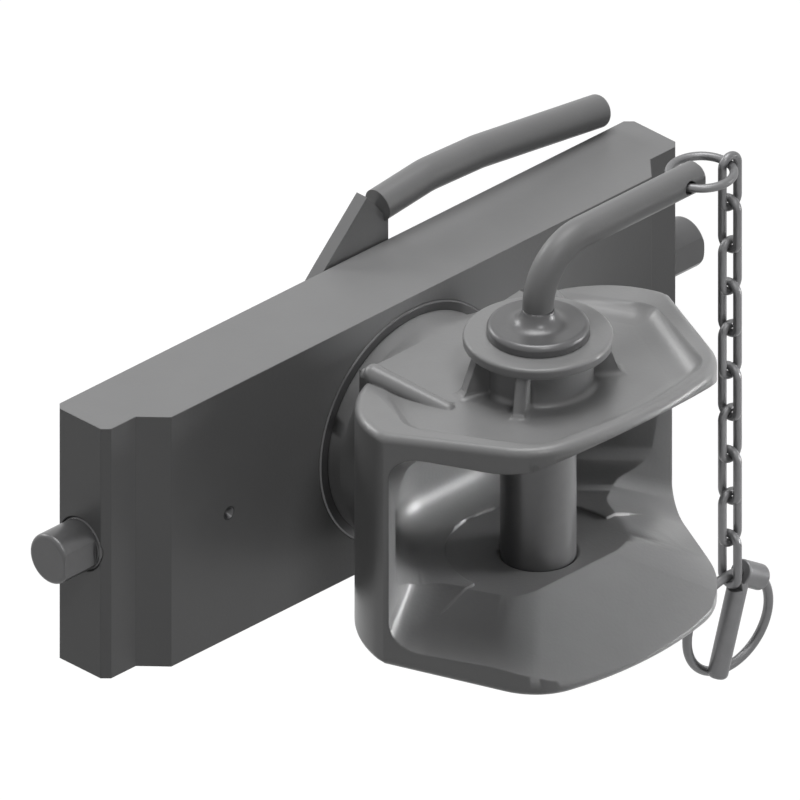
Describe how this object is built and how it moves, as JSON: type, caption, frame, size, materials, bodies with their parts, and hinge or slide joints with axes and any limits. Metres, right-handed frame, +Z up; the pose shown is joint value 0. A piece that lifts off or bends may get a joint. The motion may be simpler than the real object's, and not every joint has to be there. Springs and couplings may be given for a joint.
{
  "type": "tractor clevis coupling",
  "caption": "Height adjustable tractor clevis coupling: cast jaw swivelling in a sliding carrier plate with sprung lock bolts, a lift-out hitch pin on a handle, and a chained linch pin.",
  "frame": {"origin": "point where the common axis of the lock bolts crosses the swivel axis of the jaw", "axes": "+Z up, -Y out of the mouth of the jaw towards the trailer, +X towards the pin handle's end"},
  "size_m": [0.367, 0.213, 0.2454],
  "materials": {
    "painted_steel": "semi-matt grey paint over machined steel",
    "cast_jaw": "semi-matt grey painted casting with rounded edges",
    "hardened_steel": "turned and hardened, satin",
    "zinc_steel": "zinc plated wire and chain",
    "spring_steel": "oiled spring wire",
    "bronze": "plain bearing bronze"
  },
  "bodies": {
    "plate": {"carrier_plate": "painted_steel", "swivel_bush": "bronze", "thrust_disc": "hardened_steel", "grease_nipple_left": "spring_steel", "grease_nipple_right": "spring_steel", "lever_circlip": "spring_steel", "bolt_spring_left": "spring_steel", "bolt_spring_right": "spring_steel"},
    "jaw": {"clevis_jaw": "cast_jaw", "shank_washer": "hardened_steel", "castle_nut": "hardened_steel", "split_pin": "zinc_steel"},
    "pin_washer": {"head_washer": "hardened_steel"},
    "pin": {"coupling_pin": "hardened_steel", "pin_handle": "painted_steel"},
    "handle_ring": {"handle_ring": "zinc_steel"},
    "chain_link_01": {"chain_link_01": "zinc_steel"},
    "chain_link_02": {"chain_link_02": "zinc_steel"},
    "chain_link_03": {"chain_link_03": "zinc_steel"},
    "chain_link_04": {"chain_link_04": "zinc_steel"},
    "chain_link_05": {"chain_link_05": "zinc_steel"},
    "chain_link_06": {"chain_link_06": "zinc_steel"},
    "chain_link_07": {"chain_link_07": "zinc_steel"},
    "chain_link_08": {"chain_link_08": "zinc_steel"},
    "chain_link_09": {"chain_link_09": "zinc_steel"},
    "chain_link_10": {"chain_link_10": "zinc_steel"},
    "linch_ring": {"linch_ring": "zinc_steel"},
    "linch_pin": {"linch_pin": "zinc_steel"},
    "lever": {"lever_plate": "painted_steel", "lever_handle": "painted_steel"},
    "bolt_left": {"lock_bolt_left": "hardened_steel", "drive_stud_left": "hardened_steel"},
    "bolt_right": {"lock_bolt_right": "hardened_steel", "drive_stud_right": "hardened_steel"}
  },
  "joints": [
    {"name": "jaw_swivel", "type": "hinge", "parent": "plate", "child": "jaw", "pos_m": [0, 0, 0], "axis": [0, 1, 0], "continuous": true},
    {"name": "pin_turn", "type": "hinge", "parent": "jaw", "child": "pin_washer", "pos_m": [0, -0.0977, 0.0714], "axis": [0, 0, 1], "range_deg": [-200, 20]},
    {"name": "pin_lift", "type": "slide", "parent": "pin_washer", "child": "pin", "axis": [0, 0, 1], "range_m": [0, 0.11]},
    {"name": "ring_swing", "type": "hinge", "parent": "pin", "child": "handle_ring", "pos_m": [0.08116, -0.0977, 0.1084], "axis": [0, 1, 0], "range_deg": [-90, 5]},
    {"name": "link_01_swing", "type": "hinge", "parent": "handle_ring", "child": "chain_link_01", "pos_m": [0.10617, -0.1014, 0.1084], "axis": [0, 1, 0], "range_deg": [-40, 5]},
    {"name": "link_02_swing", "type": "hinge", "parent": "chain_link_01", "child": "chain_link_02", "pos_m": [0.10617, -0.1014, 0.08877], "axis": [1, 0, 0], "range_deg": [-40, 15]},
    {"name": "link_03_swing", "type": "hinge", "parent": "chain_link_02", "child": "chain_link_03", "pos_m": [0.10617, -0.1014, 0.06914], "axis": [0, -1, 0], "range_deg": [-8, 40]},
    {"name": "link_04_swing", "type": "hinge", "parent": "chain_link_03", "child": "chain_link_04", "pos_m": [0.10617, -0.1014, 0.04951], "axis": [-1, 0, 0], "range_deg": [-15, 40]},
    {"name": "link_05_swing", "type": "hinge", "parent": "chain_link_04", "child": "chain_link_05", "pos_m": [0.10617, -0.1014, 0.02988], "axis": [0, 1, 0], "range_deg": [-40, 12]},
    {"name": "link_06_swing", "type": "hinge", "parent": "chain_link_05", "child": "chain_link_06", "pos_m": [0.10617, -0.1014, 0.01025], "axis": [1, 0, 0], "range_deg": [-40, 20]},
    {"name": "link_07_swing", "type": "hinge", "parent": "chain_link_06", "child": "chain_link_07", "pos_m": [0.10617, -0.1014, -0.00938], "axis": [0, -1, 0], "range_deg": [-20, 40]},
    {"name": "link_08_swing", "type": "hinge", "parent": "chain_link_07", "child": "chain_link_08", "pos_m": [0.10617, -0.1014, -0.02901], "axis": [-1, 0, 0], "range_deg": [-20, 40]},
    {"name": "link_09_swing", "type": "hinge", "parent": "chain_link_08", "child": "chain_link_09", "pos_m": [0.10617, -0.1014, -0.04864], "axis": [0, 1, 0], "range_deg": [-40, 30]},
    {"name": "link_10_swing", "type": "hinge", "parent": "chain_link_09", "child": "chain_link_10", "pos_m": [0.10617, -0.1014, -0.06827], "axis": [1, 0, 0], "range_deg": [-40, 30]},
    {"name": "linch_ring_swing", "type": "hinge", "parent": "chain_link_10", "child": "linch_ring", "pos_m": [0.10617, -0.1014, -0.0879], "axis": [0, 1, 0], "range_deg": [-25, 25]},
    {"name": "linch_pin_open", "type": "hinge", "parent": "linch_ring", "child": "linch_pin", "pos_m": [0.11771, -0.1014, -0.0883], "axis": [-0.848, 0, 0.5299], "range_deg": [0, 60]},
    {"name": "lever_turn", "type": "hinge", "parent": "plate", "child": "lever", "pos_m": [0, 0.0193, 0], "axis": [0, -1, 0], "range_deg": [0, 55]},
    {"name": "bolt_left_slide", "type": "slide", "parent": "plate", "child": "bolt_left", "axis": [1, 0, 0], "range_m": [0, 0.02], "deforming": ["bolt_spring_left"]},
    {"name": "bolt_right_slide", "type": "slide", "parent": "plate", "child": "bolt_right", "axis": [-1, 0, 0], "range_m": [0, 0.02], "deforming": ["bolt_spring_right"]}
  ],
  "couplings": [
    {"joint": "bolt_left_slide", "follows": "lever_turn", "m_per_rad": 0.020834},
    {"joint": "bolt_right_slide", "follows": "lever_turn", "m_per_rad": 0.020834}
  ]
}
